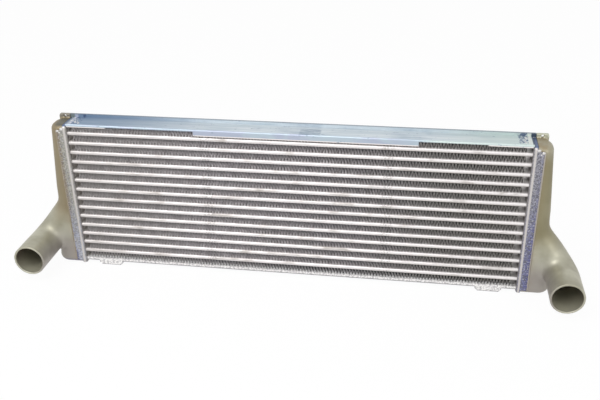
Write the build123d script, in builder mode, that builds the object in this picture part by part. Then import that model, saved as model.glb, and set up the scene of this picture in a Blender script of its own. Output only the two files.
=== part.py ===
# Charge air cooler of brazed aluminium with a cast tank and hose spigot at each end.
# X runs along the tubes, Y from the front face to the rear, Z up.
# The origin is under the middle of the cooler's overall size, spigots included,
# on the plane that it stands on.
# All sizes are in millimetres.

from build123d import *
import math
import os

os.makedirs("parts", exist_ok=True)

# Core stack
tube_count = 14
tube_thickness = 6.4
tube_depth = 36.0
tube_wall = 0.6
tube_end_stand = 3.0
fin_height = 9.5
fin_depth = 33.0
fin_foil = 0.8
fin_folds = 18
fin_end_gap = 7.0
turbulator_foil = 0.4
turbulator_folds = 4
turbulator_end_gap = 2.0
turbulator_side_gap = 1.0
core_length = 693.0
core_clearance = 12.0
braze_gap = 0.1

# Side plates
plate_thickness = 3.0
plate_bend_radius = 2.5
lip_thickness = 1.5
rear_flange_height = 4.6
rear_flange_thickness = 1.8
middle_lip_left = 147.0
middle_lip_right = 187.0
middle_lip_drop = 7.0
end_lip_start = 285.0
end_lip_drop = 1.5
bottom_flange_height = 2.0
tab_width = 40.0
tab_centre = 305.0
tab_thickness = 2.0
tab_corner = 4.0
tab_hole_radius = 2.0
tab_hole_height = 4.0

# Header pans
header_depth = 42.0
header_wall = 2.5
header_corner_radius = 6.0
header_edge_radius = 4.0
header_side_rim = 16.0
header_top_rim = 6.5
header_rim_notch = 7.0
header_over_stack = 1.0

# Cast tanks
tank_inset = 0.5
tank_wall = 4.5
tank_top_width = 23.0
tank_flare_width = 35.0
tank_flare_height = 90.0
tank_flare_radius = 150.0
tank_bottom_width = 45.5
tank_bottom_radius = 10.5
tank_top_radius = 10.0
tank_edge_radius = 18.0
seat_clearance = 0.1

# Hose spigots
spigot_outer_radius = 25.0
spigot_wall = 3.0
spigot_reach = 57.0
spigot_height = 41.0
spigot_mouth_forward = 88.0
elbow_radius = 35.0
elbow_lead = 6.0
elbow_angle = 52.0
elbow_run = 71.0

# Lug on each tank
lug_width = 18.0
lug_thickness = 6.0
lug_height = 6.0
lug_corner = 2.0
lug_root = 22.0
lug_root_taper = 12.0
lug_hole_radius = 2.25
lug_hole_height = 2.8

# Places worked out from the sizes above.
# The core stands behind the origin, because the spigots reach forward of it.
core_y = (spigot_mouth_forward - spigot_outer_radius) / 2
fin_row_count = tube_count + 1
pitch = tube_thickness + fin_height
stack_height = fin_row_count * fin_height + tube_count * tube_thickness
stack_top = core_clearance + stack_height
first_tube_height = core_clearance + fin_height + tube_thickness / 2
last_tube_height = first_tube_height + (tube_count - 1) * pitch
stack_middle = (first_tube_height + last_tube_height) / 2
face_x = core_length / 2
tank_foot_x = face_x + header_top_rim
tank_height = stack_top + header_over_stack
tube_length = core_length + 2 * (header_wall + tube_end_stand)
tank_depth = header_depth - 2 * tank_inset
pan_inner_depth = header_depth - 2 * header_wall
plate_front_y = -tube_depth / 2
plate_rear_y = tube_depth / 2


def folded_strip(length, height, foil, folds):
    """Outline of a strip folded to and fro between two flats, centred on its middle."""
    half_fold = length / (2 * folds)
    leg = math.hypot(half_fold, height)
    rise = foil * leg / half_fold
    upper = []
    lower = []
    for corner in range(2 * folds + 1):
        along = -length / 2 + corner * half_fold
        if corner % 2 == 0:
            upper.append((along, rise - height / 2))
            lower.append((along, -height / 2))
        else:
            upper.append((along, height / 2))
            lower.append((along, height / 2 - rise))
    return upper + lower[::-1]


# Each sketch plane takes its Y from the middle of the core's depth
def facing_right(x, y, z):
    """Sketch plane across the cooler's length, drawn in Y and Z, facing +X."""
    return Plane(origin=(x, core_y + y, z), x_dir=(0, 1, 0), z_dir=(1, 0, 0))


def facing_front(x, y, z):
    """Sketch plane drawn in X and Z, facing -Y."""
    return Plane(origin=(x, core_y + y, z), x_dir=(1, 0, 0), z_dir=(0, -1, 0))


def facing_up(x, y, z):
    """Sketch plane drawn in X and Y, facing +Z."""
    return Plane(origin=(x, core_y + y, z), x_dir=(1, 0, 0), z_dir=(0, 0, 1))


def build_tube(middle_height):
    """Flat tube with round noses, open at both ends."""
    with BuildPart() as tube:
        with BuildSketch(facing_right(-tube_length / 2, 0, middle_height)):
            SlotOverall(tube_depth, tube_thickness)
            SlotOverall(tube_depth - 2 * tube_wall, tube_thickness - 2 * tube_wall, mode=Mode.SUBTRACT)
        extrude(amount=tube_length)
    return tube.part


def build_turbulator(middle_height):
    """Folded strip inside a tube, its folds running along the tube."""
    inside_height = tube_thickness - 2 * tube_wall
    flat_depth = tube_depth - tube_thickness - 2 * turbulator_side_gap
    strip_length = tube_length - 2 * turbulator_end_gap
    with BuildPart() as turbulator:
        with BuildSketch(facing_right(0, 0, middle_height)):
            with BuildLine():
                Polyline(*folded_strip(flat_depth, inside_height, turbulator_foil, turbulator_folds),
                         close=True)
            make_face()
        extrude(amount=strip_length / 2, both=True)
    return turbulator.part


def build_air_fin(middle_height):
    """Row of folded fins between two tubes, its folds running from front to rear."""
    with BuildPart() as air_fin:
        with BuildSketch(facing_front(0, 0, middle_height)):
            with BuildLine():
                Polyline(*folded_strip(core_length - 2 * fin_end_gap, fin_height, fin_foil, fin_folds),
                         close=True)
            make_face()
        extrude(amount=fin_depth / 2, both=True)
    return air_fin.part


def numbered(name, number):
    """Node name with a two digit number."""
    return f"{name}_{number:02d}"


def save(part, label):
    """Label a finished piece and write its file."""
    part.label = label
    export_step(part, f"parts/{label}.step")


# Tubes and turbulators, numbered from the bottom up
for index in range(tube_count):
    height = first_tube_height + index * pitch
    save(build_tube(height), numbered("tube", index + 1))
    save(build_turbulator(height), numbered("turbulator", index + 1))

# Air fins, numbered from the bottom up
for index in range(fin_row_count):
    save(build_air_fin(core_clearance + fin_height / 2 + index * pitch), numbered("air_fin", index + 1))

# Top side plate: a floor on the upper fin row, an upright rear flange and front lips.
# Its ends reach over the rounded edge of the headers as far as its underside allows.
edge_drop = header_edge_radius - header_over_stack
top_plate_half = (face_x + header_edge_radius
                  - math.sqrt(header_edge_radius ** 2 - edge_drop ** 2))
with BuildPart() as top_side_plate:
    with BuildSketch(facing_right(0, 0, stack_top + plate_thickness / 2)):
        Rectangle(tube_depth, plate_thickness)
    extrude(amount=top_plate_half, both=True)
    front_bend = top_side_plate.edges().filter_by(Axis.X).group_by(Axis.Z)[-1].sort_by(Axis.Y)[0]
    fillet(front_bend, radius=plate_bend_radius)
    flange_height = plate_thickness + rear_flange_height
    flange_y = plate_rear_y - rear_flange_thickness / 2
    with BuildSketch(facing_right(0, flange_y, stack_top + flange_height / 2)):
        Rectangle(rear_flange_thickness, flange_height)
    extrude(amount=top_plate_half, both=True)
    # The flange runs on over each header as far as the lug of the tank
    ear_foot = tank_height + seat_clearance
    ear_top = stack_top + flange_height
    ear_length = tank_foot_x - seat_clearance - top_plate_half
    for side in (-1, 1):
        with BuildSketch(facing_front(side * (top_plate_half + ear_length / 2), plate_rear_y,
                                      (ear_foot + ear_top) / 2)):
            Rectangle(ear_length, ear_top - ear_foot)
        extrude(amount=rear_flange_thickness)
    lip_y = plate_front_y + lip_thickness / 2
    middle_lip_x = (middle_lip_right - middle_lip_left) / 2
    with BuildSketch(facing_up(middle_lip_x, lip_y, stack_top - middle_lip_drop)):
        Rectangle(middle_lip_left + middle_lip_right, lip_thickness)
    extrude(amount=middle_lip_drop)
    end_lip_length = face_x - end_lip_start
    for side in (-1, 1):
        with BuildSketch(facing_up(side * (end_lip_start + end_lip_length / 2), lip_y,
                                   stack_top - end_lip_drop)):
            Rectangle(end_lip_length, lip_thickness)
        extrude(amount=end_lip_drop)
save(top_side_plate.part, "top_side_plate")

# Bottom side plate: a shallow channel with two drilled tabs folded from its front edge
channel_height = plate_thickness + bottom_flange_height
with BuildPart() as bottom_side_plate:
    with BuildSketch(facing_right(0, 0, core_clearance - plate_thickness / 2)):
        Rectangle(tube_depth, plate_thickness)
    extrude(amount=face_x, both=True)
    for flange_y in (plate_front_y + tab_thickness / 2, plate_rear_y - tab_thickness / 2):
        with BuildSketch(facing_right(0, flange_y, core_clearance - channel_height / 2)):
            Rectangle(tab_thickness, channel_height)
        extrude(amount=face_x, both=True)
    tab_height = core_clearance - plate_thickness
    for side in (-1, 1):
        with BuildSketch(facing_front(side * tab_centre, plate_front_y, tab_height / 2)) as tab_outline:
            Rectangle(tab_width, tab_height)
            chamfer(tab_outline.vertices().group_by(Axis.Y)[0], length=tab_corner)
        extrude(amount=-tab_thickness)
        with BuildSketch(facing_front(side * tab_centre, plate_front_y, tab_hole_height)):
            Circle(tab_hole_radius)
        extrude(amount=-tab_thickness, mode=Mode.SUBTRACT)
save(bottom_side_plate.part, "bottom_side_plate")

# Right header: a drawn pan with a rounded edge, slotted for the tubes
with BuildPart() as right_header:
    with BuildSketch(facing_right(face_x, 0, tank_height / 2)):
        RectangleRounded(header_depth, tank_height, header_corner_radius)
    extrude(amount=header_side_rim)
    fillet(right_header.edges().group_by(Axis.X)[0], radius=header_edge_radius)
    with BuildSketch(facing_right(face_x + header_wall, 0, tank_height / 2)):
        RectangleRounded(pan_inner_depth, tank_height - 2 * header_wall,
                         header_corner_radius - header_wall)
    extrude(amount=header_side_rim, mode=Mode.SUBTRACT)
    with BuildSketch(facing_right(face_x, 0, stack_middle)):
        with GridLocations(0, pitch, 1, tube_count):
            SlotOverall(tube_depth + 2 * braze_gap, tube_thickness + 2 * braze_gap)
    extrude(amount=header_wall, mode=Mode.SUBTRACT)
    for notch_middle in (header_rim_notch / 2, tank_height - header_rim_notch / 2):
        with BuildSketch(facing_right(tank_foot_x, 0, notch_middle)):
            Rectangle(header_depth, header_rim_notch)
        extrude(amount=header_side_rim, mode=Mode.SUBTRACT)
save(right_header.part, "right_header")

with BuildPart() as left_header:
    mirror(right_header.part, about=Plane.YZ)
save(left_header.part, "left_header")

# Right tank: one casting with its elbow, spigot and lug
fall = math.radians(elbow_angle)
run_direction = Vector(math.cos(fall), 0, -math.sin(fall))
elbow_corner = Vector(tank_foot_x + spigot_reach, core_y, spigot_height)
mouth_centre = elbow_corner + Vector(0, -spigot_mouth_forward, 0)
run_start = elbow_corner - run_direction * elbow_run
bend_start = elbow_corner - run_direction * (elbow_radius + elbow_lead)
run_plane = Plane(origin=run_start, x_dir=(0, 1, 0), z_dir=run_direction)
bend_plane = Plane(origin=bend_start, x_dir=(0, 1, 0), z_dir=run_direction)


def tank_block(inset, depth):
    """Tapered body of the tank without its elbow, drawn in by an inset and as deep as given."""
    with BuildPart() as block:
        with BuildSketch(facing_front(0, 0, 0)) as outline:
            with BuildLine():
                Polyline((tank_foot_x, inset),
                         (tank_foot_x + tank_bottom_width - inset, inset),
                         (tank_foot_x + tank_flare_width - inset, tank_flare_height),
                         (tank_foot_x + tank_top_width - inset, tank_height - inset),
                         (tank_foot_x, tank_height - inset),
                         close=True)
            make_face()
            flare_start = outline.vertices().sort_by(Axis.Y)[2]
            fillet(flare_start, radius=tank_flare_radius + inset)
        extrude(amount=depth / 2, both=True)
        foot_face = block.faces().sort_by(Axis.X)[0]
        end_faces = [block.faces().sort_by(Axis.Z)[0], block.faces().sort_by(Axis.Z)[-1]]
        end_edges = foot_face.edges() + end_faces[0].edges() + end_faces[1].edges()
        flat_sides = [block.faces().sort_by(Axis.Y)[0], block.faces().sort_by(Axis.Y)[-1]]
        outer_edges = [edge for face in flat_sides for edge in face.edges() if edge not in end_edges]
        fillet(outer_edges, radius=tank_edge_radius - inset)
        for height_order, radius in ((0, tank_bottom_radius), (-1, tank_top_radius)):
            end_face = block.faces().sort_by(Axis.Z)[height_order]
            foot_edge = end_face.edges().sort_by(Axis.X)[0]
            fillet([edge for edge in end_face.edges() if edge != foot_edge], radius=radius - inset)
    return block.part


def elbow_pipe(depth_radius, radius, beyond):
    """Run out of the tank, bend and straight spigot, lengthened past the mouth by a given amount."""
    with BuildPart() as pipe:
        with BuildSketch(run_plane):
            Ellipse(depth_radius, radius)
        with BuildSketch(bend_plane):
            Circle(radius)
        loft()
        with BuildLine() as path:
            FilletPolyline(bend_start, elbow_corner, mouth_centre + Vector(0, -beyond, 0),
                           radius=elbow_radius)
        with BuildSketch(bend_plane):
            Circle(radius)
        sweep(path=path.wires()[0])
    return pipe.part


tank_half_depth = tank_depth / 2
void_depth = tank_depth - 2 * tank_wall
with BuildPart() as right_tank:
    add(tank_block(0, tank_depth))
    add(elbow_pipe(tank_half_depth, spigot_outer_radius, 0))
    # Drilled lug on the rear of the top, its root running out down the rounded rear edge
    lug_full_height = lug_height + lug_root
    lug_plane = facing_front(tank_foot_x + lug_width / 2, tank_half_depth,
                             tank_height + lug_height - lug_full_height / 2)
    with BuildSketch(lug_plane) as lug_outline:
        Rectangle(lug_width, lug_full_height)
        root_corner = lug_outline.vertices().group_by(Axis.Y)[0].sort_by(Axis.X)[-1]
        chamfer(root_corner, length=lug_root_taper)
        fillet(lug_outline.vertices().group_by(Axis.Y)[-1], radius=lug_corner)
        with Locations((0, lug_hole_height + lug_full_height / 2 - lug_height)):
            Circle(lug_hole_radius, mode=Mode.SUBTRACT)
    extrude(amount=lug_thickness)
    add(tank_block(tank_wall, void_depth), mode=Mode.SUBTRACT)
    add(elbow_pipe(void_depth / 2, spigot_outer_radius - spigot_wall, spigot_wall), mode=Mode.SUBTRACT)
    # Nothing of the run reaches past the foot
    with BuildSketch(facing_right(tank_foot_x, 0, tank_height / 2)):
        Rectangle(2 * header_depth, 2 * tank_height)
    extrude(amount=-elbow_run, mode=Mode.SUBTRACT)
    # Rebates in which the side rims of the header lie
    rebate_height = tank_height - 2 * header_rim_notch
    rebate_y = header_depth / 2 - header_wall - seat_clearance
    for side in (-1, 1):
        rebate_middle = side * (rebate_y + tank_half_depth) / 2
        with BuildSketch(facing_right(tank_foot_x, rebate_middle, tank_height / 2)):
            Rectangle(tank_half_depth - rebate_y, rebate_height)
        extrude(amount=header_side_rim - header_top_rim, mode=Mode.SUBTRACT)
save(right_tank.part, "right_tank")

with BuildPart() as left_tank:
    mirror(right_tank.part, about=Plane.YZ)
save(left_tank.part, "left_tank")
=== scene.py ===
"""Looks of a brazed aluminium charge air cooler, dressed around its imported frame.

Everything is in metres, in the frame's own axes: X along the tubes, Y to the rear, Z up.
"""

import logging
import math
import random
from dataclasses import dataclass
from enum import Enum

import bmesh
import bpy
from mathutils import Matrix, Vector


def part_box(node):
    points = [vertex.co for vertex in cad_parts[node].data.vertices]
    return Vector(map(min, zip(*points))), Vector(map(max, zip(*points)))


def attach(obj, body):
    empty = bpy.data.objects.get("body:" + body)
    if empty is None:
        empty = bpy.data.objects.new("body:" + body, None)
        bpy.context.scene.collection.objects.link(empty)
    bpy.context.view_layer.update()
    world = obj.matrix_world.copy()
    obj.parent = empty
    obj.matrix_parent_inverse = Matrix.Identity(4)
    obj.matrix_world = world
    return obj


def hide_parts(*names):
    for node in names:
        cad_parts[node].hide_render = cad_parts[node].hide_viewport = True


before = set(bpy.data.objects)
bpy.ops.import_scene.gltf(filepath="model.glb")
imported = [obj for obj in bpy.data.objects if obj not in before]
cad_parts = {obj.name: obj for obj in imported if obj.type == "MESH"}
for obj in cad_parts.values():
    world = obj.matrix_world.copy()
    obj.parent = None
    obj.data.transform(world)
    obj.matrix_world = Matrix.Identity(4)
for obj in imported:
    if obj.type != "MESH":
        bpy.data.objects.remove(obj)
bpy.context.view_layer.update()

MM = 0.001
ROOT_BODY = "root"
CORE_Y = 31.5 * MM

logging.basicConfig(level=logging.INFO, format="%(message)s")
log = logging.getLogger("cooler")


Value = bpy.types.NodeSocket | float
Colour = bpy.types.NodeSocket | str
Span = tuple[float, float]


class Side(Enum):
    """An end of the cooler, with the sign of its X."""

    LEFT = -1
    RIGHT = 1

    @property
    def word(self) -> str:
        """The end's name as the nodes spell it."""
        return self.name.lower()


def linear(hex_colour: str) -> tuple[float, float, float, float]:
    """Turn an sRGB hex colour into linear values.

    Args:
        hex_colour: Six hex digits after a hash sign.

    Returns:
        Red, green, blue and an alpha of 1.
    """
    channels = []
    for start in (1, 3, 5):
        value = int(hex_colour[start:start + 2], 16) / 255
        channels.append(value / 12.92 if value <= 0.04045 else ((value + 0.055) / 1.055) ** 2.4)
    return (*channels, 1.0)


def add_node(tree: bpy.types.NodeTree, kind: str, inputs: dict | None = None,
             **settings: str | bool) -> bpy.types.Node:
    """Add a node with its settings, values and links.

    Args:
        tree: The node tree that gets the node.
        kind: The node's type name.
        inputs: Socket name or number to a value, or to the socket that feeds it.
        **settings: Attributes of the node itself.

    Returns:
        The new node.
    """
    node = tree.nodes.new(kind)
    for name, value in settings.items():
        setattr(node, name, value)
    for name, value in (inputs or {}).items():
        if isinstance(value, bpy.types.NodeSocket):
            tree.links.new(value, node.inputs[name])
        else:
            node.inputs[name].default_value = value
    return node


class Painter:
    """Node chains shared by the finishes of one material."""

    def __init__(self, name: str) -> None:
        """Start a material whose patterns read Object coordinates.

        Args:
            name: The material's name.
        """
        self.material = bpy.data.materials.new(name)
        self.material.use_nodes = True
        self.tree = self.material.node_tree
        self.shader = self.tree.nodes["Principled BSDF"]
        self.place = add_node(self.tree, "ShaderNodeTexCoord").outputs["Object"]
        split = add_node(self.tree, "ShaderNodeSeparateXYZ", {0: self.place})
        self.x, self.y, self.z = split.outputs

    def math(self, operation: str, *values: Value) -> bpy.types.NodeSocket:
        """Result of a Math node on sockets or numbers."""
        node = add_node(self.tree, "ShaderNodeMath", dict(enumerate(values)), operation=operation)
        return node.outputs[0]

    def times(self, first: Value, second: Value) -> bpy.types.NodeSocket:
        """Product of two sockets or numbers."""
        return self.math("MULTIPLY", first, second)

    def ramp(self, value: bpy.types.NodeSocket, low: float, high: float,
             start: float = 0.0, end: float = 1.0) -> bpy.types.NodeSocket:
        """Value from low to high, smoothly turned into start to end."""
        node = add_node(self.tree, "ShaderNodeMapRange",
                        {"Value": value, "From Min": low, "From Max": high,
                         "To Min": start, "To Max": end}, interpolation_type="SMOOTHSTEP")
        return node.outputs[0]

    def stretched(self, across: tuple[float, float, float]) -> bpy.types.NodeSocket:
        """Object coordinates scaled along each axis."""
        node = add_node(self.tree, "ShaderNodeMapping", {"Vector": self.place, "Scale": across})
        return node.outputs[0]

    def noise(self, grain: float, detail: float = 3.0, roughness: float = 0.55,
              stretch: tuple[float, float, float] | None = None) -> bpy.types.NodeSocket:
        """Noise whose features are about one grain across.

        Args:
            grain: Size of a feature in metres.
            detail: Octaves of noise.
            roughness: Share of the finer octaves.
            stretch: Scale along each axis, for drawn out features.

        Returns:
            The noise's factor socket.
        """
        vector = self.place if stretch is None else self.stretched(stretch)
        node = add_node(self.tree, "ShaderNodeTexNoise",
                        {"Vector": vector, "Scale": 1.0 / grain, "Detail": detail,
                         "Roughness": roughness})
        return node.outputs[0]

    def mix(self, factor: Value, under: Colour, over: Colour) -> bpy.types.NodeSocket:
        """Lay a colour over another.

        Args:
            factor: Share of the upper colour.
            under: Lower colour, as hex text or a socket.
            over: Upper colour, as hex text or a socket.

        Returns:
            The mixed colour's socket.
        """
        colours = [linear(item) if isinstance(item, str) else item for item in (under, over)]
        node = add_node(self.tree, "ShaderNodeMix", {0: factor, 6: colours[0], 7: colours[1]},
                        data_type="RGBA")
        return node.outputs[2]

    def bump(self, height: bpy.types.NodeSocket, depth: float, strength: float = 1.0,
             under: bpy.types.NodeSocket | None = None) -> bpy.types.NodeSocket:
        """Turn a height into a bumped normal.

        Args:
            height: Height from 0 to 1.
            depth: Height of 1 in metres.
            strength: Share of the bump that shows.
            under: Earlier normal that it is laid over.

        Returns:
            The normal's socket.
        """
        inputs = {"Height": height, "Distance": depth, "Strength": strength}
        if under is not None:
            inputs["Normal"] = under
        return add_node(self.tree, "ShaderNodeBump", inputs).outputs[0]

    def repeat(self, value: bpy.types.NodeSocket, start: float,
               period: float) -> bpy.types.NodeSocket:
        """Distance past the last whole period, counted from a start."""
        return self.math("FLOORED_MODULO", self.math("SUBTRACT", value, start), period)

    def near(self, value: bpy.types.NodeSocket, place: float, half_width: float,
             fade: float) -> bpy.types.NodeSocket:
        """Mask that is 1 within a half width of a place and fades out past it."""
        away = self.math("ABSOLUTE", self.math("SUBTRACT", value, place))
        return self.ramp(away, half_width, half_width + fade, 1.0, 0.0)

    def wire(self, **sockets: Value) -> None:
        """Link sockets, or set values, on the shader.

        Args:
            **sockets: Input name, with underscores for spaces, to a socket or a value.
        """
        for name, value in sockets.items():
            target = self.shader.inputs[name.replace("_", " ")]
            if isinstance(value, bpy.types.NodeSocket):
                self.tree.links.new(value, target)
            else:
                target.default_value = value


@dataclass(frozen=True)
class BrazedTube:
    """Extruded aluminium tube after the brazing furnace: pale satin with a few grey stains."""

    name: str = "brazed_extruded_aluminium"
    face: str = "#E3DFDE"
    stain: str = "#B4AEA9"
    strap_mark: str = "#77726F"
    dull: str = "#A9A49F"
    roughness: float = 0.34
    metallic: float = 0.55
    dull_left_x: Span = (-340 * MM, -120 * MM)
    dull_right_x: Span = (60 * MM, 260 * MM)
    dull_shares: Span = (0.35, 0.8)
    strap_half: float = 5 * MM
    strap_fade: float = 6 * MM
    strap_share: float = 0.45
    first_z: float = 24.7 * MM
    pitch: float = 15.9 * MM
    strap_x: Span = (-131 * MM, 145 * MM)

    def build(self) -> bpy.types.Material:
        """Material with drawn out stains, the marks that the brazing straps left, a greyer left end
        and painted shade on the tubes' undersides towards the right.

        Returns:
            The material.
        """
        paint = Painter(self.name)
        streaks = paint.noise(9 * MM, 4.0, stretch=(0.25, 1.0, 1.0))
        colour = paint.mix(paint.ramp(streaks, 0.50, 0.78), self.face, self.stain)
        # Straps held the core in the furnace and left a line of small grey smudges
        crumbs = paint.ramp(paint.noise(2.2 * MM, 2.0), 0.44, 0.60)
        for place in self.strap_x:
            mark = paint.times(paint.near(paint.x, place, self.strap_half, self.strap_fade), crumbs)
            colour = paint.mix(paint.times(mark, self.strap_share), colour, self.strap_mark)
        # Greyer towards the left end, and painted shade on the lower half of each tube towards the
        # right.
        left = paint.ramp(paint.x, *self.dull_left_x, self.dull_shares[0], 0.0)
        rise = paint.repeat(paint.z, self.first_z - self.pitch / 2, self.pitch)
        under = paint.times(paint.ramp(rise, self.pitch / 2 - 2.2 * MM, self.pitch / 2 + 0.6 * MM,
                                       self.dull_shares[1], 0.0),
                            paint.ramp(paint.x, *self.dull_right_x))
        colour = paint.mix(paint.math("MAXIMUM", left, under), colour, self.dull)
        fine = paint.noise(0.8 * MM, 3.0)
        paint.wire(Base_Color=colour, Metallic=self.metallic,
                   Roughness=paint.ramp(streaks, 0.3, 0.8, self.roughness, self.roughness + 0.2),
                   Normal=paint.bump(fine, 0.05 * MM, 0.5))
        return paint.material


@dataclass(frozen=True)
class FinFoil:
    """Thin clad foil: pale satin, greyer up each fold, with braze at its feet."""

    name: str = "clad_aluminium_foil"
    face: str = "#F6F2F4"
    soot: str = "#D0CACD"
    shade: str = "#A4A0A3"
    end_shade: str = "#B6B2AD"
    braze: str = "#FFFFFF"
    deep: str = "#5A5658"
    roughness: float = 0.45
    metallic: float = 0.2
    dull_left_x: Span = (-330 * MM, -110 * MM)
    dull_right_x: Span = (60 * MM, 260 * MM)
    dull_shares: Span = (0.45, 0.8)
    foot_rise: Span = (0.9 * MM, 1.9 * MM)
    low_foot: float = 1.6 * MM
    louvre_pitch: float = 1.4 * MM
    low_row: float = 20 * MM
    first_z: float = 12 * MM
    pitch: float = 15.9 * MM
    height: float = 9.5 * MM
    front_y: float = CORE_Y - 16.5 * MM

    def build(self) -> bpy.types.Material:
        """Material with blotches a few folds wide, a louvre relief and bright feet.

        Returns:
            The material.
        """
        paint = Painter(self.name)
        blotch = paint.noise(7 * MM, 5.0, 0.65)
        colour = paint.mix(paint.ramp(blotch, 0.40, 0.66), self.face, self.soot)
        rise = paint.repeat(paint.z, self.first_z, self.pitch)
        colour = paint.mix(paint.ramp(rise, self.height * 0.35, self.height * 0.85, 0.0, 0.75),
                           colour, self.shade)
        ends = paint.math("MAXIMUM",
                          paint.ramp(paint.x, *self.dull_left_x, self.dull_shares[0], 0.0),
                          paint.ramp(paint.x, *self.dull_right_x, 0.0, self.dull_shares[1]))
        colour = paint.mix(ends, colour, self.end_shade)
        low = paint.ramp(paint.z, self.low_row, self.low_row + 2 * MM, 1.0, 0.0)
        reach = paint.math("SUBTRACT", rise, paint.times(low, self.low_foot))
        foot = paint.times(paint.ramp(reach, *self.foot_rise, 1.0, 0.0),
                           paint.ramp(paint.y, self.front_y + 2 * MM, self.front_y + 4 * MM, 1.0,
                                      0.0))
        foot = paint.times(foot,
                           paint.math("MAXIMUM", low, paint.ramp(blotch, 0.35, 0.55, 0.95, 0.35)))
        # Painted shade in the lowest row, a few millimetres behind the front of the folds.
        behind = paint.times(low, paint.near(paint.y, self.front_y + 8 * MM, 4 * MM, 2 * MM))
        colour = paint.mix(paint.times(behind, 0.8), colour, self.deep)
        colour = paint.mix(foot, colour, self.braze)
        louvre = add_node(paint.tree, "ShaderNodeTexWave",
                          {"Vector": paint.place, "Scale": 1.0 / self.louvre_pitch / (2 * math.pi),
                           "Distortion": 0.6}, bands_direction="Y").outputs[1]
        paint.wire(Base_Color=colour, Metallic=self.metallic, Roughness=self.roughness,
                   Normal=paint.bump(louvre, 0.3 * MM, 0.6))
        return paint.material


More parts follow.
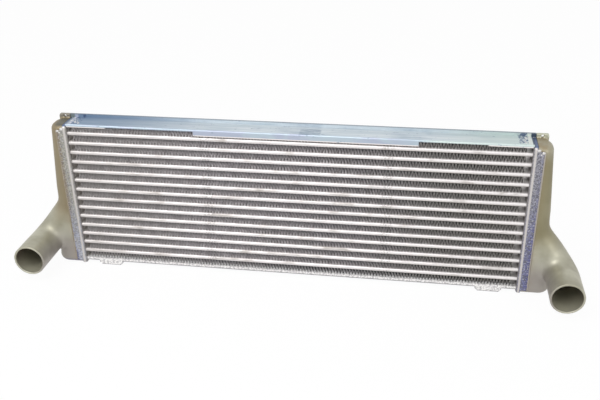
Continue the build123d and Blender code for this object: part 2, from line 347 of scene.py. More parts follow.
@dataclass(frozen=True)
class RolledPlate:
    """Rolled aluminium sheet under a pale sky: cool grey with drawn streaks, stains and scuffs."""

    name: str = "rolled_aluminium_sheet"
    face: str = "#D2DADF"
    streak: str = "#BDC9D1"
    left_end: str = "#7B90A8"
    right_end: str = "#C4D2CE"
    end_patch: str = "#4F6183"
    left_strip: str = "#AEB5C6"
    right_strip: str = "#D6DDD8"
    flange_edge: str = "#8F979F"
    lip: str = "#B3C2CD"
    lip_stain: str = "#AEB6C9"
    right_lip: str = "#C6D3D0"
    lip_edge: str = "#F4EEEC"
    left_ear: str = "#8E978F"
    right_ear: str = "#3E4E63"
    ear_x: Span = (346.5 * MM, 352.5 * MM)
    smudge: str = "#8798AA"
    roughness: float = 0.34
    metallic: float = 0.5
    left_end_x: Span = (-290 * MM, -40 * MM)
    right_end_x: Span = (180 * MM, 320 * MM)
    patch_x: float = 335 * MM
    strip_x: float = 343 * MM
    left_ear_share: float = 0.7
    lip_stain_x: Span = (120 * MM, 200 * MM)
    right_lip_x: Span = (180 * MM, 220 * MM)
    flange_top_z: float = 251.7 * MM
    lip_edge_z: float = 238.0 * MM
    end_lip_edge_z: float = 243.4 * MM
    end_lip_x: float = 285 * MM
    front_y: float = CORE_Y - 18 * MM
    flange_y: float = CORE_Y + 16.2 * MM
    smudge_place: Span = (28.5 * MM, CORE_Y - 6 * MM)
    smudge_half: Span = (14 * MM, 10 * MM)

    def build(self) -> bpy.types.Material:
        """Material with streaks along the plate, stained ends, a duller lip and a painted highlight
        on the lip edge.

        Returns:
            The material.
        """
        paint = Painter(self.name)
        drawn = paint.noise(6 * MM, 5.0, 0.6, stretch=(0.07, 1.0, 1.0))
        clouds = paint.noise(26 * MM, 3.0, 0.6, stretch=(0.6, 1.0, 1.0))
        colour = paint.mix(paint.ramp(drawn, 0.38, 0.68), self.face, self.streak)
        colour = paint.mix(paint.times(paint.ramp(clouds, 0.5, 0.7), 0.25), colour, self.left_end)
        colour = self.stain_ends(paint, colour, clouds)
        colour = self.stain_front(paint, colour, clouds)
        colour = self.scuff(paint, colour, drawn)
        paint.wire(Base_Color=colour, Metallic=self.metallic,
                   Roughness=paint.ramp(drawn, 0.3, 0.75, self.roughness, self.roughness + 0.22),
                   Normal=paint.bump(drawn, 0.12 * MM, 0.5))
        return paint.material

    def stain_ends(self, paint: Painter, colour: bpy.types.NodeSocket,
                   clouds: bpy.types.NodeSocket) -> bpy.types.NodeSocket:
        """Darken the left end, tint the right one, and mark where both were welded down.

        Args:
            paint: The material's painter.
            colour: Colour so far.
            clouds: Broad noise.

        Returns:
            The stained colour.
        """
        wander = paint.math("ADD", paint.x, paint.times(clouds, 90 * MM))
        colour = paint.mix(paint.ramp(wander, *self.left_end_x, 0.95, 0.0), colour, self.left_end)
        colour = paint.mix(paint.ramp(paint.x, *self.right_end_x, 0.0, 0.75), colour,
                           self.right_end)
        out = paint.math("ABSOLUTE", paint.x)
        patches = paint.times(paint.ramp(paint.noise(5 * MM, 3.0, 0.6), 0.48, 0.56),
                              paint.near(out, self.patch_x, 6 * MM, 3 * MM))
        colour = paint.mix(paint.times(patches, 0.85), colour, self.end_patch)
        right = paint.math("GREATER_THAN", paint.x, 0.0)
        strip = paint.mix(right, self.left_strip, self.right_strip)
        colour = paint.mix(paint.near(out, self.strip_x, 2 * MM, 1.5 * MM), colour, strip)
        ear = paint.mix(right, self.left_ear, self.right_ear)
        right_share = paint.ramp(out, self.ear_x[1], self.ear_x[1] + 2 * MM, 0.95, 0.1)
        more = paint.times(right, paint.math("SUBTRACT", right_share, self.left_ear_share))
        share = paint.math("ADD", more, self.left_ear_share)
        mask = paint.times(share, paint.ramp(out, self.ear_x[0] - 1 * MM, self.ear_x[0]))
        return paint.mix(mask, colour, ear)

    def stain_front(self, paint: Painter, colour: bpy.types.NodeSocket,
                    clouds: bpy.types.NodeSocket) -> bpy.types.NodeSocket:
        """Make the lip duller, paint a highlight along its lower edge, and grey the top edge of the
        rear flange.

        Args:
            paint: The material's painter.
            colour: Colour so far.
            clouds: Broad noise.

        Returns:
            The stained colour.
        """
        front = paint.ramp(paint.y, self.front_y + 1.2 * MM, self.front_y + 3 * MM, 1.0, 0.0)
        stained = paint.times(paint.ramp(clouds, 0.42, 0.56),
                              paint.ramp(paint.x, *self.lip_stain_x, 1.0, 0.0))
        lip = paint.mix(stained, self.lip, self.lip_stain)
        lip = paint.mix(paint.ramp(paint.x, *self.right_lip_x), lip, self.right_lip)
        colour = paint.mix(paint.times(front, 0.9), colour, lip)
        # Painted highlight along the lower edge of the lips, higher up on the end lips.
        edge = paint.ramp(paint.z, self.lip_edge_z, self.lip_edge_z + 0.9 * MM, 1.0, 0.0)
        ends = paint.math("GREATER_THAN", paint.math("ABSOLUTE", paint.x), self.end_lip_x)
        low = paint.ramp(paint.z, self.end_lip_edge_z, self.end_lip_edge_z + 0.9 * MM, 1.0, 0.0)
        edge = paint.math("MAXIMUM", edge, paint.times(ends, low))
        colour = paint.mix(edge, colour, self.lip_edge)
        crest = paint.times(paint.ramp(paint.z, self.flange_top_z - 1.3 * MM,
                                       self.flange_top_z - 0.5 * MM),
                            paint.ramp(paint.y, self.flange_y - 1 * MM, self.flange_y))
        return paint.mix(paint.times(crest, 0.9), colour, self.flange_edge)

    def scuff(self, paint: Painter, colour: bpy.types.NodeSocket,
              drawn: bpy.types.NodeSocket) -> bpy.types.NodeSocket:
        """Rub a streaky oblong on the floor a little right of the middle, and a few small scuffs.

        Args:
            paint: The material's painter.
            colour: Colour so far.
            drawn: Noise drawn out along the plate.

        Returns:
            The scuffed colour.
        """
        (place_x, place_y), (half_x, half_y) = self.smudge_place, self.smudge_half
        patch = paint.times(paint.near(paint.x, place_x, half_x, 3 * MM),
                            paint.near(paint.y, place_y, half_y, 1.5 * MM))
        lines = paint.noise(2.2 * MM, 3.0, 0.6, stretch=(0.12, 1.0, 1.0))
        patch = paint.times(patch, paint.ramp(lines, 0.42, 0.60, 0.15, 0.85))
        colour = paint.mix(patch, colour, self.smudge)
        marks = paint.ramp(paint.noise(4 * MM, 2.0, 0.5, stretch=(0.5, 1.0, 1.0)), 0.68, 0.72, 0.0,
                           0.7)
        return paint.mix(marks, colour, self.smudge)


@dataclass(frozen=True)
class BrazedSheet:
    """Lower side plate after the brazing furnace: grey sheet under ragged runs of bright braze."""

    name: str = "brazed_aluminium_sheet"
    face: str = "#C6C4C5"
    dark: str = "#6E6C6E"
    braze: str = "#F6F4F2"
    cut_edge: str = "#77757A"
    roughness: float = 0.4
    metallic: float = 0.4
    tab_x: float = 305 * MM
    tab_half: float = 20 * MM
    flange_low: float = 7 * MM

    def build(self) -> bpy.types.Material:
        """Material with bright runs, a few dark pits, and grey along the cut edges.

        Returns:
            The material.
        """
        paint = Painter(self.name)
        runs = paint.noise(3.4 * MM, 4.0, 0.65)
        pits = paint.noise(2.4 * MM, 3.0, 0.6)
        colour = paint.mix(paint.ramp(pits, 0.62, 0.68), self.face, self.dark)
        colour = paint.mix(paint.ramp(runs, 0.42, 0.56), colour, self.braze)
        aside = paint.math("ABSOLUTE",
                           paint.math("SUBTRACT", paint.math("ABSOLUTE", paint.x), self.tab_x))
        on_tab = paint.math("LESS_THAN", aside, self.tab_half)
        round_tab = paint.math("MAXIMUM",
                               paint.ramp(aside, self.tab_half - 1.4 * MM,
                                          self.tab_half - 0.6 * MM),
                               paint.ramp(paint.z, 0.5 * MM, 1.3 * MM, 1.0, 0.0))
        round_tab = paint.times(round_tab,
                                paint.ramp(paint.z, self.flange_low, self.flange_low + 1 * MM, 1.0,
                                           0.0))
        beside = paint.times(paint.math("SUBTRACT", 1.0, on_tab),
                             paint.ramp(paint.z, self.flange_low + 0.8 * MM,
                                        self.flange_low + 1.8 * MM, 1.0, 0.0))
        cut = paint.math("MAXIMUM", paint.times(on_tab, round_tab), beside)
        colour = paint.mix(paint.times(cut, 0.85), colour, self.cut_edge)
        paint.wire(Base_Color=colour, Metallic=self.metallic, Roughness=self.roughness,
                   Normal=paint.bump(runs, 0.15 * MM, 0.5))
        return paint.material


@dataclass(frozen=True)
class PressedHeader:
    """Pressed aluminium sheet: a painted highlight on its rounded edge, painted violet reflection
    on the right and brown on the left.
    """

    name: str = "pressed_aluminium_sheet"
    face: str = "#989796"
    frost: str = "#62616A"
    speck: str = "#D2D1D8"
    slotted: str = "#8F8B89"
    left_slotted: str = "#E9E5DF"
    left_face: str = "#ABA99C"
    silver: str = "#B4B7C4"
    left_rim: str = "#5F6080"
    violet: str = "#7B7D9F"
    deep_violet: str = "#5A5C92"
    heat: str = "#8A7A62"
    rim: str = "#4F6388"
    round_edge: str = "#CCC7C4"
    roughness: float = 0.36
    metallic: float = 0.6
    violet_z: Span = (50 * MM, 190 * MM)
    silver_z: Span = (60 * MM, 130 * MM)
    left_rim_z: Span = (12 * MM, 40 * MM)
    rim_z: Span = (242.4 * MM, 244.4 * MM)
    face_x: float = 346.5 * MM
    ridge_x: float = 350.3 * MM
    rim_x: float = 362.5 * MM

    def build(self) -> bpy.types.Material:
        """Material with a grey slotted face, painted light deep in it on the left, bands of painted
        reflection, shade and highlight with brown stain and specks, and a dark blue top rim.

        Returns:
            The material.
        """
        paint = Painter(self.name)
        out = paint.math("ABSOLUTE", paint.x)
        mottle = paint.noise(5 * MM, 5.0, 0.65)
        face = paint.mix(paint.ramp(paint.x, -1 * MM, 1 * MM), self.left_face, self.face)
        # Painted violet reflection: mottled patches all over, and more low down towards the right.
        colour = paint.mix(paint.ramp(mottle, 0.48, 0.72, 0.0, 0.35), face, self.violet)
        right = paint.ramp(paint.x, -100 * MM, 100 * MM, 0.12, 1.0)
        low = paint.ramp(paint.z, *self.violet_z, 1.0, 0.25)
        violet = paint.times(paint.times(low, right), paint.ramp(mottle, 0.25, 0.60, 0.45, 1.0))
        colour = paint.mix(violet, colour, self.violet)
        left = paint.ramp(paint.x, -100 * MM, 100 * MM, 0.85, 0.0)
        brown = paint.times(left, paint.ramp(out, self.rim_x - 6 * MM, self.rim_x - 1 * MM))
        colour = paint.mix(paint.times(brown, paint.ramp(mottle, 0.3, 0.6, 0.5, 1.0)), colour,
                           self.heat)
        # Painted highlight: mottled bright silver patches low on the left.
        low_left = paint.times(paint.ramp(paint.z, *self.silver_z, 1.0, 0.0),
                               paint.math("LESS_THAN", paint.x, 0.0))
        patchy = paint.times(low_left, paint.ramp(mottle, 0.38, 0.54, 0.25, 1.0))
        colour = paint.mix(patchy, colour, self.silver)
        rim = paint.times(paint.ramp(paint.z, *self.left_rim_z, 0.8, 0.0),
                          paint.ramp(out, self.rim_x - 5 * MM, self.rim_x - 2 * MM))
        rim = paint.times(rim, paint.math("LESS_THAN", paint.x, 0.0))
        colour = paint.mix(rim, colour, self.left_rim)
        # Painted shade in violet, darker from the rounded edge outwards, low down and towards the
        # right.
        outwards = paint.times(paint.ramp(out, self.ridge_x + 2 * MM, self.rim_x - 1 * MM, 0.0,
                                          0.85), paint.times(low, right))
        outwards = paint.times(outwards, paint.ramp(mottle, 0.34, 0.56, 0.35, 1.0))
        colour = paint.mix(outwards, colour, self.deep_violet)
        frost = paint.times(paint.ramp(paint.noise(2.4 * MM, 3.0, 0.6), 0.46, 0.58, 0.0, 0.85),
                            paint.ramp(paint.x, -100 * MM, 100 * MM, 0.6, 1.0))
        colour = paint.mix(frost, colour, self.frost)
        specks = paint.ramp(paint.noise(2.6 * MM, 3.0, 0.6), 0.55, 0.62, 0.0, 0.5)
        colour = paint.mix(specks, colour, self.speck)
        # Painted highlight along the rounded edge.
        colour = paint.mix(paint.near(out, self.ridge_x, 0.9 * MM, 1.2 * MM), colour,
                           self.round_edge)
        # Painted light on the deep part of the slotted face on the left; its front stays grey.
        deep = paint.times(paint.ramp(paint.y, CORE_Y - 17 * MM, CORE_Y - 11 * MM),
                           paint.math("LESS_THAN", paint.x, 0.0))
        slotted = paint.mix(deep, self.slotted, self.left_slotted)
        colour = paint.mix(paint.ramp(out, self.face_x + 0.5 * MM, self.face_x + 2.2 * MM, 0.85,
                                      0.0), colour, slotted)
        top = paint.times(paint.ramp(paint.z, *self.rim_z),
                          paint.ramp(out, self.face_x, self.face_x + 1.5 * MM))
        colour = paint.mix(paint.times(top, 0.9), colour, self.rim)
        paint.wire(Base_Color=colour, Metallic=self.metallic,
                   Roughness=paint.ramp(mottle, 0.3, 0.7, self.roughness, self.roughness + 0.2),
                   Normal=paint.bump(paint.noise(1.5 * MM), 0.1 * MM, 0.5))
        return paint.material


@dataclass(frozen=True)
class SandCastTank:
    """Cast and shot-blasted aluminium: satin olive grey, browner beside the weld."""

    name: str = "shot_blasted_cast_aluminium"
    face: str = "#B7B5A4"
    shade: str = "#A19E8D"
    left_body: str = "#8C7F64"
    weathered: str = "#857D5D"
    left_lug: str = "#8B877F"
    right_lug: str = "#C3C5B2"
    lilac: str = "#99928F"
    heat: str = "#A18F78"
    top_stain: str = "#5C5D56"
    inside: str = "#6B6156"
    inside_low: str = "#D8D5BE"
    foot_rim: str = "#56557A"
    roughness: float = 0.42
    metallic: float = 0.6
    lilac_z: Span = (25 * MM, 75 * MM)
    lilac_x: Span = (385 * MM, 405 * MM)
    heat_x: Span = (360 * MM, 376 * MM)
    heat_z: Span = (40 * MM, 120 * MM)
    weathered_z: Span = (62 * MM, 112 * MM)
    weathered_x: Span = (392 * MM, 412 * MM)
    weathered_top_z: Span = (218 * MM, 238 * MM)
    left_body_z: Span = (57 * MM, 110 * MM)
    left_body_x: Span = (380 * MM, 402 * MM)
    lug_z: Span = (245.6 * MM, 246.6 * MM)
    spigot_x: float = 410 * MM
    spigot_z: float = 41 * MM
    spigot_bore: float = 22 * MM

    def build(self) -> bpy.types.Material:
        """Material with soft clouds, a brown weld side, a grey foot, painted shade on the left
        tank's top and along its foot's lower edge, and a bore with painted shade above and painted
        light below.

        Returns:
            The material.
        """
        paint = Painter(self.name)
        out = paint.math("ABSOLUTE", paint.x)
        clouds = paint.noise(38 * MM, 3.0, 0.5)
        colour = paint.mix(paint.ramp(clouds, 0.35, 0.68), self.face, self.shade)
        foot = paint.times(paint.ramp(paint.z, *self.lilac_z, 1.0, 0.0),
                           paint.ramp(out, *self.lilac_x, 1.0, 0.0))
        colour = paint.mix(paint.times(foot, 0.8), colour, self.lilac)
        blot = paint.noise(7 * MM, 4.0, 0.6)
        heat = paint.times(paint.ramp(out, *self.heat_x, 1.0, 0.0),
                           paint.ramp(blot, 0.30, 0.65, 0.2, 0.85))
        heat = paint.times(heat, paint.ramp(paint.z, *self.heat_z, 0.3, 1.0))
        colour = paint.mix(heat, colour, self.heat)
        # Darker olive over the right tank above its foot, less so on its outer wall and near its
        # top.
        right = paint.ramp(paint.x, 340 * MM, 360 * MM, 0.0, 0.8)
        high = paint.times(paint.ramp(paint.z, *self.weathered_z),
                           paint.ramp(out, *self.weathered_x, 1.0, 0.3))
        high = paint.times(high, paint.ramp(paint.z, *self.weathered_top_z, 1.0, 0.5))
        colour = paint.mix(paint.times(right, high), colour, self.weathered)
        side = paint.ramp(paint.x, -355 * MM, -350 * MM, 0.85, 0.0)
        body = paint.times(paint.ramp(out, *self.left_body_x, 1.0, 0.0),
                           paint.ramp(paint.z, *self.left_body_z))
        colour = paint.mix(paint.times(side, body), colour, self.left_body)
        # Painted shadow on the left tank's top, in front of the lug and beside the header.
        left = paint.ramp(paint.x, -355 * MM, -350 * MM, 0.8, 0.0)
        cap = paint.times(left, paint.ramp(paint.z, 241 * MM, 244.5 * MM))
        cap = paint.times(cap, paint.ramp(out, 362 * MM, 372 * MM, 1.0, 0.0))
        colour = paint.mix(paint.times(cap,
                                       paint.ramp(paint.y, CORE_Y + 6 * MM, CORE_Y + 14 * MM, 1.0,
                                                  0.0)), colour, self.top_stain)
        lug = paint.mix(paint.math("GREATER_THAN", paint.x, 0.0), self.left_lug, self.right_lug)
        colour = paint.mix(paint.ramp(paint.z, *self.lug_z, 0.0, 0.85), colour, lug)
        aside = paint.math("SUBTRACT", out, self.spigot_x)
        above = paint.math("SUBTRACT", paint.z, self.spigot_z)
        radius = paint.math("SQRT",
                            paint.math("ADD", paint.times(aside, aside), paint.times(above, above)))
        bore = paint.times(paint.ramp(radius, self.spigot_bore, self.spigot_bore + 1.2 * MM, 1.0,
                                      0.0), paint.ramp(paint.y, CORE_Y - 87 * MM, CORE_Y - 84 * MM))
        bore = paint.times(bore, paint.ramp(paint.y, CORE_Y - 34 * MM, CORE_Y - 26 * MM, 1.0, 0.0))
        # Painted shade high in the bore and painted light low in it.
        inside = paint.mix(paint.ramp(paint.z, 16 * MM, 50 * MM), self.inside_low, self.inside)
        colour = paint.mix(bore, colour, inside)
        # Painted shade along the lower edge of the left foot.
        rim = paint.times(paint.ramp(paint.z, 1.5 * MM, 9 * MM, 0.8, 0.0),
                          paint.ramp(out, 386 * MM, 396 * MM, 1.0, 0.0))
        colour = paint.mix(paint.times(rim, paint.math("LESS_THAN", paint.x, 0.0)), colour,
                           self.foot_rim)
        grit = paint.noise(0.9 * MM, 2.0)
        paint.wire(Base_Color=colour, Metallic=self.metallic,
                   Roughness=paint.ramp(clouds, 0.3, 0.7, self.roughness, self.roughness + 0.1),
                   Normal=paint.bump(grit, 0.05 * MM, 0.5))
        return paint.material


@dataclass(frozen=True)
class WeldBead:
    """Weld metal as it froze: bright ripples with a little brown scale."""

    name: str = "aluminium_weld_metal"
    face: str = "#B3ADA6"
    scale_brown: str = "#8D8068"
    scale_shares: Span = (0.8, 0.35)
    roughness: float = 0.42
    metallic: float = 0.4

    def build(self) -> bpy.types.Material:
        """Material with scale over bright metal, by one share for each end.

        Returns:
            The material.
        """
        paint = Painter(self.name)
        share = paint.ramp(paint.x, -100 * MM, 100 * MM, *self.scale_shares)
        scale = paint.times(share, paint.ramp(paint.noise(6 * MM, 3.0, 0.6), 0.25, 0.60, 0.5, 1.0))
        colour = paint.mix(scale, self.face, self.scale_brown)
        paint.wire(Base_Color=colour, Metallic=self.metallic, Roughness=self.roughness,
                   Normal=paint.bump(paint.noise(1.2 * MM), 0.2 * MM, 0.5))
        return paint.material


def settle(mesh: bmesh.types.BMesh, name: str, material: bpy.types.Material,
           smooth: bool = True) -> bpy.types.Object:
    """Turn a finished bmesh into a piece that rides on the cooler.

    Args:
        mesh: The shape, in place. It is freed.
        name: The piece's name.
        material: Its finish.
        smooth: Whether its faces are shaded smooth.

    Returns:
        The piece's object.
    """
    for face in mesh.faces:
        face.smooth = smooth
    data = bpy.data.meshes.new(name)
    mesh.to_mesh(data)
    mesh.free()
    data.materials.append(material)
    piece = bpy.data.objects.new(name, data)
    bpy.context.scene.collection.objects.link(piece)
    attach(piece, ROOT_BODY)
    log.info("%s: %d faces", name, len(data.polygons))
    return piece


@dataclass
class AirFins:
    """Rows of zigzag foil between the tubes, each as long as its CAD node."""

    material: bpy.types.Material
    row_count: int = 15
    fold_pitch: float = 4.75 * MM
    foil: float = 0.32 * MM
    crest: float = 0.07
    crest_height: float = 0.4 * MM
    clearance: float = 0.05 * MM

    def build(self) -> None:
        """Build every row in place of its CAD node."""
        for number in range(1, self.row_count + 1):
            self.build_row(f"air_fin_{number:02d}")

    def fold_outline(self, height: float) -> list[tuple[float, float]]:
        """Draw one fold from one low crest to the next.

        Args:
            height: Height between the middles of the crests.

        Returns:
            Its points, as shares of the pitch and as heights.
        """
        half = height / 2
        return [(0.0, -half), (self.crest, -half + self.crest_height),
                (0.5 - self.crest, half - self.crest_height), (0.5, half),
                (0.5 + self.crest, half - self.crest_height),
                (1.0 - self.crest, -half + self.crest_height), (1.0, -half)]

    def build_row(self, node: str) -> bpy.types.Object:
        """Draw one fold, deepen it, and repeat it along the row.

        Args:
            node: The CAD node that the row stands for.

        Returns:
            The row's object.
        """
        low, high = (Vector(corner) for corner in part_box(node))
        size = high - low
        height = size.z - self.foil - 2 * self.clearance
        fold_count = round((size.x - self.foil) / self.fold_pitch)
        pitch = (size.x - self.foil) / fold_count
        shape = bmesh.new()
        points = [shape.verts.new((low.x + self.foil / 2 + share * pitch, low.y,
                                   (low.z + high.z) / 2 + rise)) for share,
                  rise in self.fold_outline(height)]
        edges = [shape.edges.new(pair) for pair in zip(points, points[1:])]
        grown = bmesh.ops.extrude_edge_only(shape, edges=edges)["geom"]
        moved = [item for item in grown if isinstance(item, bmesh.types.BMVert)]
        bmesh.ops.translate(shape, vec=(0, size.y, 0), verts=moved)
        bmesh.ops.recalc_face_normals(shape, faces=shape.faces)
        row = settle(shape, f"fin_row_{node[-2:]}", self.material, smooth=False)
        repeat = row.modifiers.new("folds", "ARRAY")
        repeat.count = fold_count
        repeat.use_relative_offset = False
        repeat.use_constant_offset = True
        repeat.constant_offset_displace = (pitch, 0, 0)
        repeat.use_merge_vertices = True
        repeat.merge_threshold = 0.01 * MM
        thicken = row.modifiers.new("foil", "SOLIDIFY")
        thicken.thickness = self.foil
        thicken.offset = 0.0
        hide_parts(node)
        return row


@dataclass
class CastTank:
    """End tank and elbow as one casting, with the soft blends that a mould leaves."""

    side: Side
    material: bpy.types.Material
    voxel: float = 1.4 * MM
    blend_centre: tuple[float, float, float] = (388 * MM, CORE_Y, 78 * MM)
    blend_radius: float = 62 * MM
    foot_x: float = 360 * MM
    rear_y: float = CORE_Y + 17 * MM
    rounds: int = 160
    round_factor: float = 0.5
    reach_lost: float = 0.45

    def build(self) -> bpy.types.Object:
        """Copy the CAD tank, close its surface into even quads, and soften the elbow's root.

        Returns:
            The tank's object.
        """
        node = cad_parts[f"{self.side.word}_tank"]
        shape = bmesh.new()
        shape.from_mesh(node.data)
        bmesh.ops.remove_doubles(shape, verts=shape.verts, dist=0.001 * MM)
        tank = settle(shape, f"{self.side.word}_casting", self.material)
        remesh = tank.modifiers.new("even", "REMESH")
        remesh.mode = "VOXEL"
        remesh.voxel_size = self.voxel
        remesh.use_smooth_shade = True
        graph = bpy.context.evaluated_depsgraph_get()
        even = bpy.data.meshes.new_from_object(tank.evaluated_get(graph))
        tank.modifiers.clear()
        even.name = tank.data.name
        tank.data = even
        self.soften(even)
        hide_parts(node.name)
        return tank

    def soften(self, data: bpy.types.Mesh) -> None:
        """Round the corner where the elbow leaves the tank, and keep its rear.

        Args:
            data: The tank's mesh, which is changed.
        """
        shape = bmesh.new()
        shape.from_mesh(data)
        centre = Vector(self.blend_centre)
        centre.x *= self.side.value
        away = {vert: (vert.co - centre).length / self.blend_radius for vert in shape.verts
                if abs(vert.co.x) > self.foot_x and vert.co.y < self.rear_y}
        for step in range(self.rounds):
            reach = 1.0 - self.reach_lost * step / self.rounds
            ring = [vert for vert, share in away.items() if share < reach]
            bmesh.ops.smooth_vert(shape, verts=ring, factor=self.round_factor, use_axis_x=True,
                                  use_axis_y=True, use_axis_z=True)
        for face in shape.faces:
            face.smooth = True
        shape.to_mesh(data)
        shape.free()


@dataclass
class Welds:
    """Weld beads that close the tanks, and the blobs at the ends of the top plate."""

    material: bpy.types.Material
    bright: bpy.types.Material
    bead_radius: float = 1.2 * MM
    bead_step: float = 1.6 * MM
    bead_sides: int = 8
    bead_swell: Span = (0.9, 1.1)
    lump_dent: Span = (0.85, 1.1)
    seam_x: float = 363.2 * MM
    seam_half_depth: float = 20.3 * MM
    seam_low: float = 8 * MM
    seam_high: float = 237 * MM
    corner_lumps: tuple[tuple[float, float, float, float],
                        ...] = ((360.8 * MM, -20.6 * MM, 236.4 * MM, 2.7 * MM),
                                (354.4 * MM, -20.2 * MM, 239.6 * MM, 2.9 * MM),
                                (358.0 * MM, -20.4 * MM, 233.6 * MM, 1.8 * MM))
    spatter_count: int = 16
    spatter_x: Span = (329 * MM, 345 * MM)
    spatter_radius: Span = (0.7 * MM, 1.9 * MM)
    spatter_length: Span = (0.6, 1.3)
    spatter_half_depth: float = 13 * MM
    plate_top: float = 247.1 * MM

    def bead(self, shape: bmesh.types.BMesh, start: Vector, end: Vector, seed: int) -> None:
        """Extrude a rippled bead from a start to an end.

        Args:
            shape: The bmesh that gets the bead.
            start: Where it starts.
            end: Where it ends.
            seed: Seed of its ripples.
        """
        ripple = random.Random(seed)
        run = end - start
        count = max(2, round(run.length / self.bead_step))
        turn = run.to_track_quat("Z", "Y").to_matrix().to_4x4()
        swell = 1.0
        ring = bmesh.ops.create_circle(shape, cap_ends=True, radius=self.bead_radius,
                                       segments=self.bead_sides,
                                       matrix=Matrix.Translation(start) @ turn)["verts"]
        edges = list({edge for vert in ring for edge in vert.link_edges})
        for _ in range(count):
            grown = bmesh.ops.extrude_edge_only(shape, edges=edges)["geom"]
            ring = [item for item in grown if isinstance(item, bmesh.types.BMVert)]
            edges = [item for item in grown if isinstance(item, bmesh.types.BMEdge)
                     and all(vert in ring for vert in item.verts)]
            bmesh.ops.translate(shape, vec=run / count, verts=ring)
            middle = sum((vert.co for vert in ring), Vector()) / len(ring)
            earlier, swell = swell, ripple.uniform(*self.bead_swell)
            bmesh.ops.scale(shape, vec=Vector((1, 1, 1)) * (swell / earlier), verts=ring,
                            space=Matrix.Translation(-middle))
        bmesh.ops.contextual_create(shape, geom=edges)

    def lump(self, shape: bmesh.types.BMesh, place: Vector, radii: tuple[float, float, float],
             chance: random.Random) -> None:
        """Add a dented lump of frozen metal.

        Args:
            shape: The bmesh that gets the lump.
            place: Its middle.
            radii: Its radius along each axis.
            chance: Source of its dents.
        """
        body = Matrix.Translation(place) @ Matrix.Diagonal((*radii, 1.0))
        for vert in bmesh.ops.create_icosphere(shape, subdivisions=2, radius=1.0,
                                               matrix=body)["verts"]:
            vert.co = place + (vert.co - place) * chance.uniform(*self.lump_dent)

    def spatter(self, side: Side) -> None:
        """Scatter lumps over the end of the top plate and at the header's front corner.

        Args:
            side: The end that gets them.
        """
        chance = random.Random(side.name)
        shape = bmesh.new()
        for out, back, up, radius in self.corner_lumps:
            place = Vector((side.value * out, CORE_Y + back, up))
            self.lump(shape, place, (radius, radius * 0.6, radius * 0.8), chance)
        for _ in range(self.spatter_count):
            place = Vector((side.value * chance.uniform(*self.spatter_x),
                            CORE_Y + chance.uniform(-1, 1) * self.spatter_half_depth,
                            self.plate_top))
            radius = chance.uniform(*self.spatter_radius)
            self.lump(shape, place,
                      (radius, radius * chance.uniform(*self.spatter_length), radius * 0.45),
                      chance)
        settle(shape, f"{side.word}_weld_lumps", self.bright)

    def build(self) -> None:
        """Build the beads of both tanks and the lumps of both ends."""
        for side in Side:
            self.spatter(side)
            shape = bmesh.new()
            for seed, face in enumerate((-1, 1)):
                y = CORE_Y + face * self.seam_half_depth
                self.bead(shape, Vector((side.value * self.seam_x, y, self.seam_low)),
                          Vector((side.value * self.seam_x, y, self.seam_high)), seed)
            bmesh.ops.recalc_face_normals(shape, faces=shape.faces)
            settle(shape, f"{side.word}_tank_weld", self.material)


class Cooler:
    """The whole cooler: its finishes, its pieces, and the CAD nodes that keep their shape."""

    def __init__(self) -> None:
        """Make every finish once."""
        self.tube = BrazedTube().build()
        self.foil = FinFoil().build()
        self.plate = RolledPlate().build()
        self.low_plate = BrazedSheet().build()
        self.header = PressedHeader().build()
        self.cast = SandCastTank().build()
        self.weld = WeldBead().build()
        self.spatter = WeldBead(name="bright_weld_spatter", face="#EFEDEA", scale_brown="#6E6C72",
                                scale_shares=(0.35, 0.35), roughness=0.3).build()

    def dress_nodes(self) -> None:
        """Give the CAD nodes that stay in view their finish."""
        finishes = {"tube_": self.tube, "turbulator_": self.foil, "top_side_plate": self.plate,
                    "bottom_side_plate": self.low_plate, "left_header": self.header,
                    "right_header": self.header}
        for name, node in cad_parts.items():
            for start, finish in finishes.items():
                if name.startswith(start):
                    for slot in node.material_slots:
                        slot.material = finish

    def build(self) -> None:
        """Build the pieces in order."""
        self.dress_nodes()
        AirFins(self.foil).build()
        for side in Side:
            CastTank(side, self.cast).build()
        Welds(self.weld, self.spatter).build()


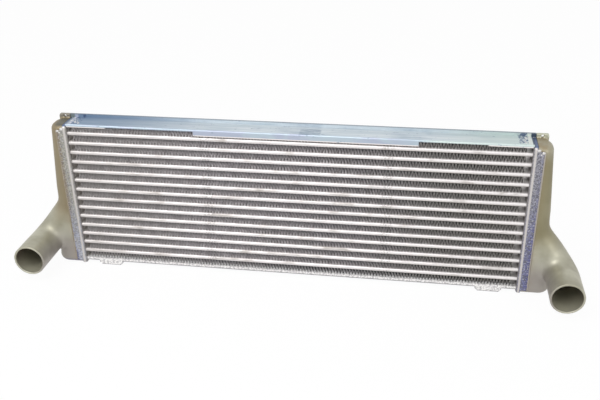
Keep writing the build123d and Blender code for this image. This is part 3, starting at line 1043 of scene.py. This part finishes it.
@dataclass
class Studio:
    """Pale floor, soft lamps and the camera at the photograph's angle."""

    frame_width: int = 600
    focal_pixels: float = 790.163
    sensor_width: float = 36.0
    eye: tuple[float, float, float] = (187.0 * MM, -1042.1 * MM, 687.9 * MM)
    yaw: float = -0.16299
    pitch: float = -0.47331
    roll: float = 0.01807
    floor_half: float = 4.0
    floor_colour: str = "#FFFFFF"
    floor_share: float = 0.95
    floor_roughness: float = 0.9
    plain_light: float = 0.55
    lamps: tuple[tuple[str, tuple[float, float, float], float, float], ...] = (
        ("key", (-0.6, -1.2, 1.9), 1.4, 26.0), ("fill", (1.6, -1.4, 0.9), 1.2, 7.0))
    aim: tuple[float, float, float] = (0.0, CORE_Y, 120 * MM)
    far_clip: float = 20.0

    def build(self) -> None:
        """Build the stage in order."""
        self.build_floor()
        self.build_world()
        self.build_lamps()
        self.build_camera()

    def build_floor(self) -> None:
        """Lay a pale floor that the camera sees as nearly white, with the cooler's shadow kept."""
        shape = bmesh.new()
        bmesh.ops.create_grid(shape, x_segments=1, y_segments=1, size=self.floor_half)
        data = bpy.data.meshes.new("floor")
        shape.to_mesh(data)
        shape.free()
        material = bpy.data.materials.new("pale_paper")
        material.use_nodes = True
        tree = material.node_tree
        shader = tree.nodes["Principled BSDF"]
        shader.inputs["Base Color"].default_value = linear(self.floor_colour)
        shader.inputs["Roughness"].default_value = self.floor_roughness
        white = add_node(tree, "ShaderNodeEmission", {"Color": (1, 1, 1, 1), "Strength": 1.0})
        seen = self.seen_rays(tree)
        share = add_node(tree, "ShaderNodeMath", {0: seen, 1: self.floor_share},
                         operation="MULTIPLY").outputs[0]
        blend = add_node(tree, "ShaderNodeMixShader",
                         {0: share, 1: shader.outputs[0], 2: white.outputs[0]})
        tree.links.new(blend.outputs[0], tree.nodes["Material Output"].inputs["Surface"])
        data.materials.append(material)
        floor = bpy.data.objects.new("floor", data)
        bpy.context.scene.collection.objects.link(floor)

    @staticmethod
    def seen_rays(tree: bpy.types.NodeTree) -> bpy.types.NodeSocket:
        """Tell rays that show the background from rays that light the object.

        Args:
            tree: The node tree that gets the nodes.

        Returns:
            A socket that is 1 for camera, glossy and transmission rays.
        """
        path = add_node(tree, "ShaderNodeLightPath").outputs
        first = add_node(tree, "ShaderNodeMath",
                         {0: path["Is Camera Ray"], 1: path["Is Glossy Ray"]}, operation="MAXIMUM")
        both = add_node(tree, "ShaderNodeMath",
                        {0: first.outputs[0], 1: path["Is Transmission Ray"]}, operation="MAXIMUM")
        return both.outputs[0]

    def build_world(self) -> None:
        """Surround the scene with white where it is seen, and with plain light elsewhere."""
        world = bpy.data.worlds.new("studio")
        world.use_nodes = True
        bpy.context.scene.world = world
        tree = world.node_tree
        strength = add_node(tree, "ShaderNodeMapRange",
                            {"Value": self.seen_rays(tree), "To Min": self.plain_light,
                             "To Max": 1.0})
        background = tree.nodes["Background"]
        background.inputs["Color"].default_value = (1, 1, 1, 1)
        tree.links.new(strength.outputs[0], background.inputs["Strength"])

    def build_lamps(self) -> None:
        """Hang a large key lamp above the front and a weaker fill at the right."""
        for name, place, size, watts in self.lamps:
            lamp = bpy.data.lights.new(name, "AREA")
            lamp.size = size
            lamp.energy = watts
            holder = bpy.data.objects.new(name, lamp)
            holder.location = place
            holder.rotation_euler = (Vector(self.aim) - Vector(place)).to_track_quat("-Z",
                                                                                     "Y").to_euler()
            bpy.context.scene.collection.objects.link(holder)

    def build_camera(self) -> None:
        """Stand the camera where the photograph was taken from."""
        ahead = Vector((math.sin(self.yaw) * math.cos(self.pitch),
                        math.cos(self.yaw) * math.cos(self.pitch), math.sin(self.pitch)))
        level = Vector((math.cos(self.yaw), -math.sin(self.yaw), 0))
        down = ahead.cross(level)
        across = math.cos(self.roll) * level + math.sin(self.roll) * down
        lower = -math.sin(self.roll) * level + math.cos(self.roll) * down
        data = bpy.data.cameras.new("camera")
        data.sensor_width = self.sensor_width
        data.lens = self.focal_pixels * self.sensor_width / self.frame_width
        data.clip_end = self.far_clip
        camera = bpy.data.objects.new("camera", data)
        turn = Matrix((across, -lower, -ahead)).transposed().to_4x4()
        camera.matrix_world = Matrix.Translation(self.eye) @ turn
        bpy.context.scene.collection.objects.link(camera)
        bpy.context.scene.camera = camera


def main() -> None:
    """Dress the cooler and set the stage."""
    bpy.context.scene.view_settings.view_transform = "Standard"
    Cooler().build()
    Studio().build()
    log.info("cooler dressed")


if __name__ == "__main__":
    main()
